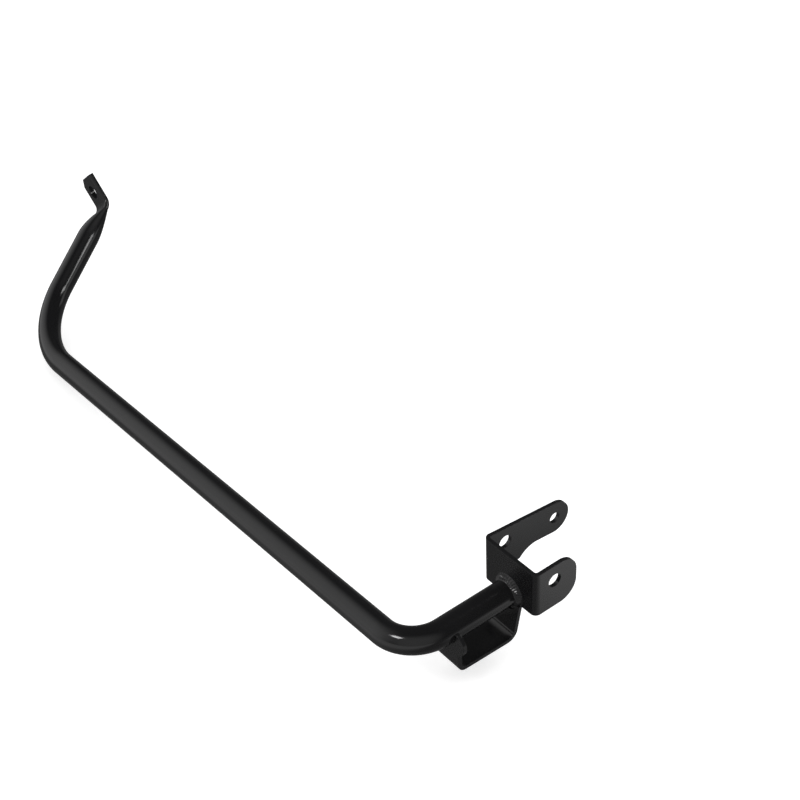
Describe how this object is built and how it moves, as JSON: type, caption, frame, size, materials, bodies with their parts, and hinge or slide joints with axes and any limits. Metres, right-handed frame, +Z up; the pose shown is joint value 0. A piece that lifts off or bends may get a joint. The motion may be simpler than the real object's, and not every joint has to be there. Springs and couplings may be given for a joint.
{
  "type": "pannier frame rail",
  "caption": "Bent steel tube rail for a motorbike side bag, with a crushed and pierced end, a U bracket for a through bolt and a strap loop under the tube.",
  "frame": {"origin": "on the axis of the through bolt, midway between the two legs of the bracket", "axes": "+Y along the through bolt towards the crushed end of the rail, +X towards the bike, +Z up"},
  "size_m": [0.1686, 0.6182, 0.1015],
  "materials": {
    "coated_tube": "gloss black powder coat on steel tube",
    "coated_plate": "satin to gloss black powder coat on steel plate",
    "coated_weld": "black powder coat over a rippled weld bead"
  },
  "bodies": {
    "root": {"rail_tube": "coated_tube", "mount_bracket": "coated_plate", "hanger_loop": "coated_plate", "ring_weld": "coated_weld", "loop_weld_outer": "coated_weld", "loop_weld_inner": "coated_weld"}
  },
  "joints": []
}
